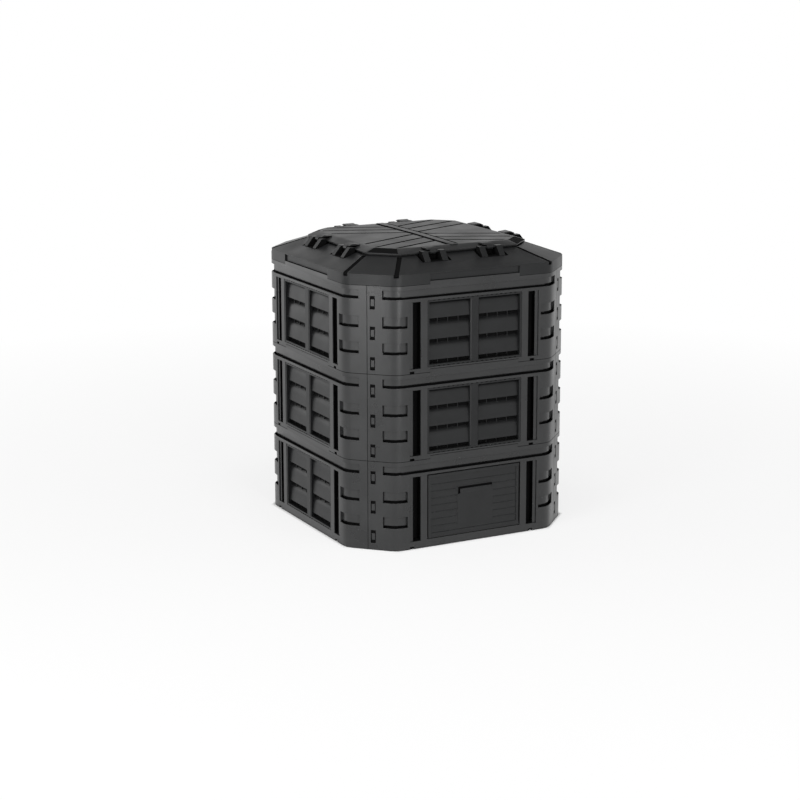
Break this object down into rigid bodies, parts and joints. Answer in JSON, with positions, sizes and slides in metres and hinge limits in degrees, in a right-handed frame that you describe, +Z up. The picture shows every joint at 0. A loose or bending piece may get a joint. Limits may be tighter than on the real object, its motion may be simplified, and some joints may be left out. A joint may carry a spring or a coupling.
{
  "type": "compost bin with lid",
  "caption": "Upright modular garden compost bin of interlocking wall panels with louvred vents, a tip-out emptying flap, and an octagonal sloping lid with a hinged hatch.",
  "frame": {"origin": "on the ground, under the middle of the footprint", "axes": "+Z up, -Y towards the face with the emptying flap, +X to the right as that face is looked at"},
  "size_m": [0.93, 0.93, 1.1],
  "materials": {
    "wall_plastic": "satin, fine moulded grain",
    "vent_plastic": "satin, fine moulded grain",
    "flap_plastic": "satin, ribbed",
    "lid_plastic": "satin, fine moulded grain",
    "hatch_plastic": "satin, ribbed top"
  },
  "bodies": {
    "root": {"wall_bottom_front": "wall_plastic", "wall_bottom_right": "wall_plastic", "wall_bottom_back": "wall_plastic", "wall_bottom_left": "wall_plastic", "wall_middle_front": "wall_plastic", "wall_middle_right": "wall_plastic", "wall_middle_back": "wall_plastic", "wall_middle_left": "wall_plastic", "wall_top_front": "wall_plastic", "wall_top_right": "wall_plastic", "wall_top_back": "wall_plastic", "wall_top_left": "wall_plastic", "vent_bottom_right": "vent_plastic", "vent_bottom_back": "vent_plastic", "vent_bottom_left": "vent_plastic", "vent_middle_front": "vent_plastic", "vent_middle_right": "vent_plastic", "vent_middle_back": "vent_plastic", "vent_middle_left": "vent_plastic", "vent_top_front": "vent_plastic", "vent_top_right": "vent_plastic", "vent_top_back": "vent_plastic", "vent_top_left": "vent_plastic", "lid_frame": "lid_plastic"},
    "flap": {"emptying_flap": "flap_plastic"},
    "hatch": {"hatch": "hatch_plastic"}
  },
  "joints": [
    {"name": "flap_hinge", "type": "hinge", "parent": "root", "child": "flap", "pos_m": [0, -0.4613, 0.0346], "axis": [1, 0, 0], "range_deg": [0, 90]},
    {"name": "hatch_hinge", "type": "hinge", "parent": "root", "child": "hatch", "pos_m": [0, 0.354, 1.0845], "axis": [-1, 0, 0], "range_deg": [0, 105]}
  ]
}
